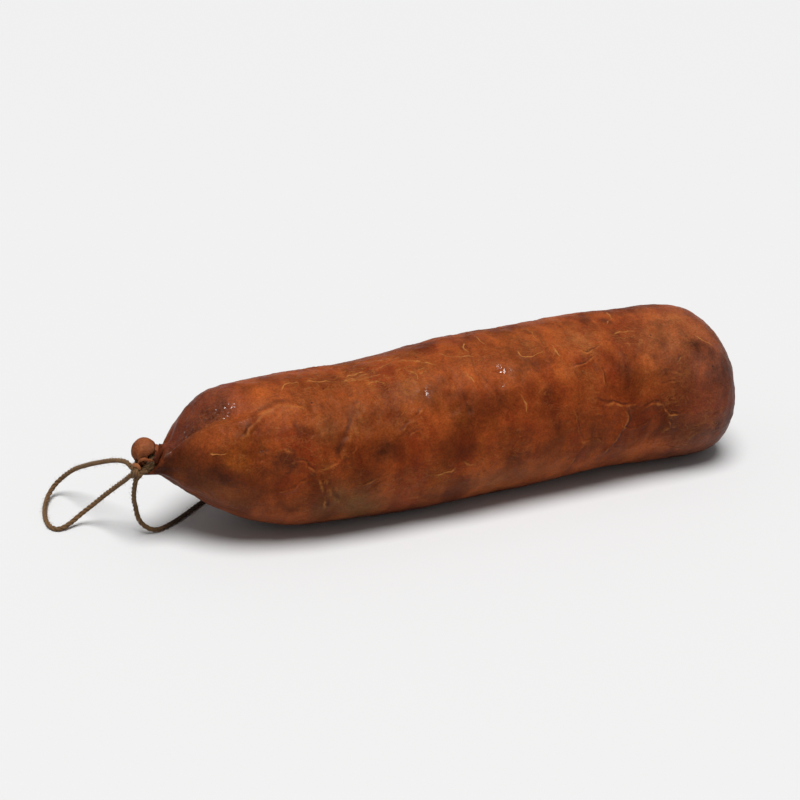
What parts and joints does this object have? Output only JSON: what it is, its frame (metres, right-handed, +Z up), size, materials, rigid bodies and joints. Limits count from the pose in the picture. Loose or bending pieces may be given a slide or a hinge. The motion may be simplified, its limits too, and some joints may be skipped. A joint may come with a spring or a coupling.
{
  "type": "smoked pork sausage",
  "caption": "Whole smoked pork sausage in a wrinkled natural casing, tied at one end with jute twine that ends in a hanging loop and a loose tail.",
  "frame": {"origin": "centre of the footprint of the sausage and its tie, on the surface it lies on", "axes": "+X along the sausage from the tied end to the round end, +Z up, -Y towards the side the picture shows"},
  "size_m": [0.2916, 0.0901, 0.0653],
  "materials": {
    "casing": "smoked natural casing, mottled orange-brown to dark red-brown, wrinkled, with a soft greasy sheen",
    "twine": "dull grey-brown twisted jute with a few stray fibres"
  },
  "bodies": {
    "root": {"sausage": "casing", "twine_tie": "twine", "twine_loop": "twine", "twine_tail": "twine"}
  },
  "joints": []
}
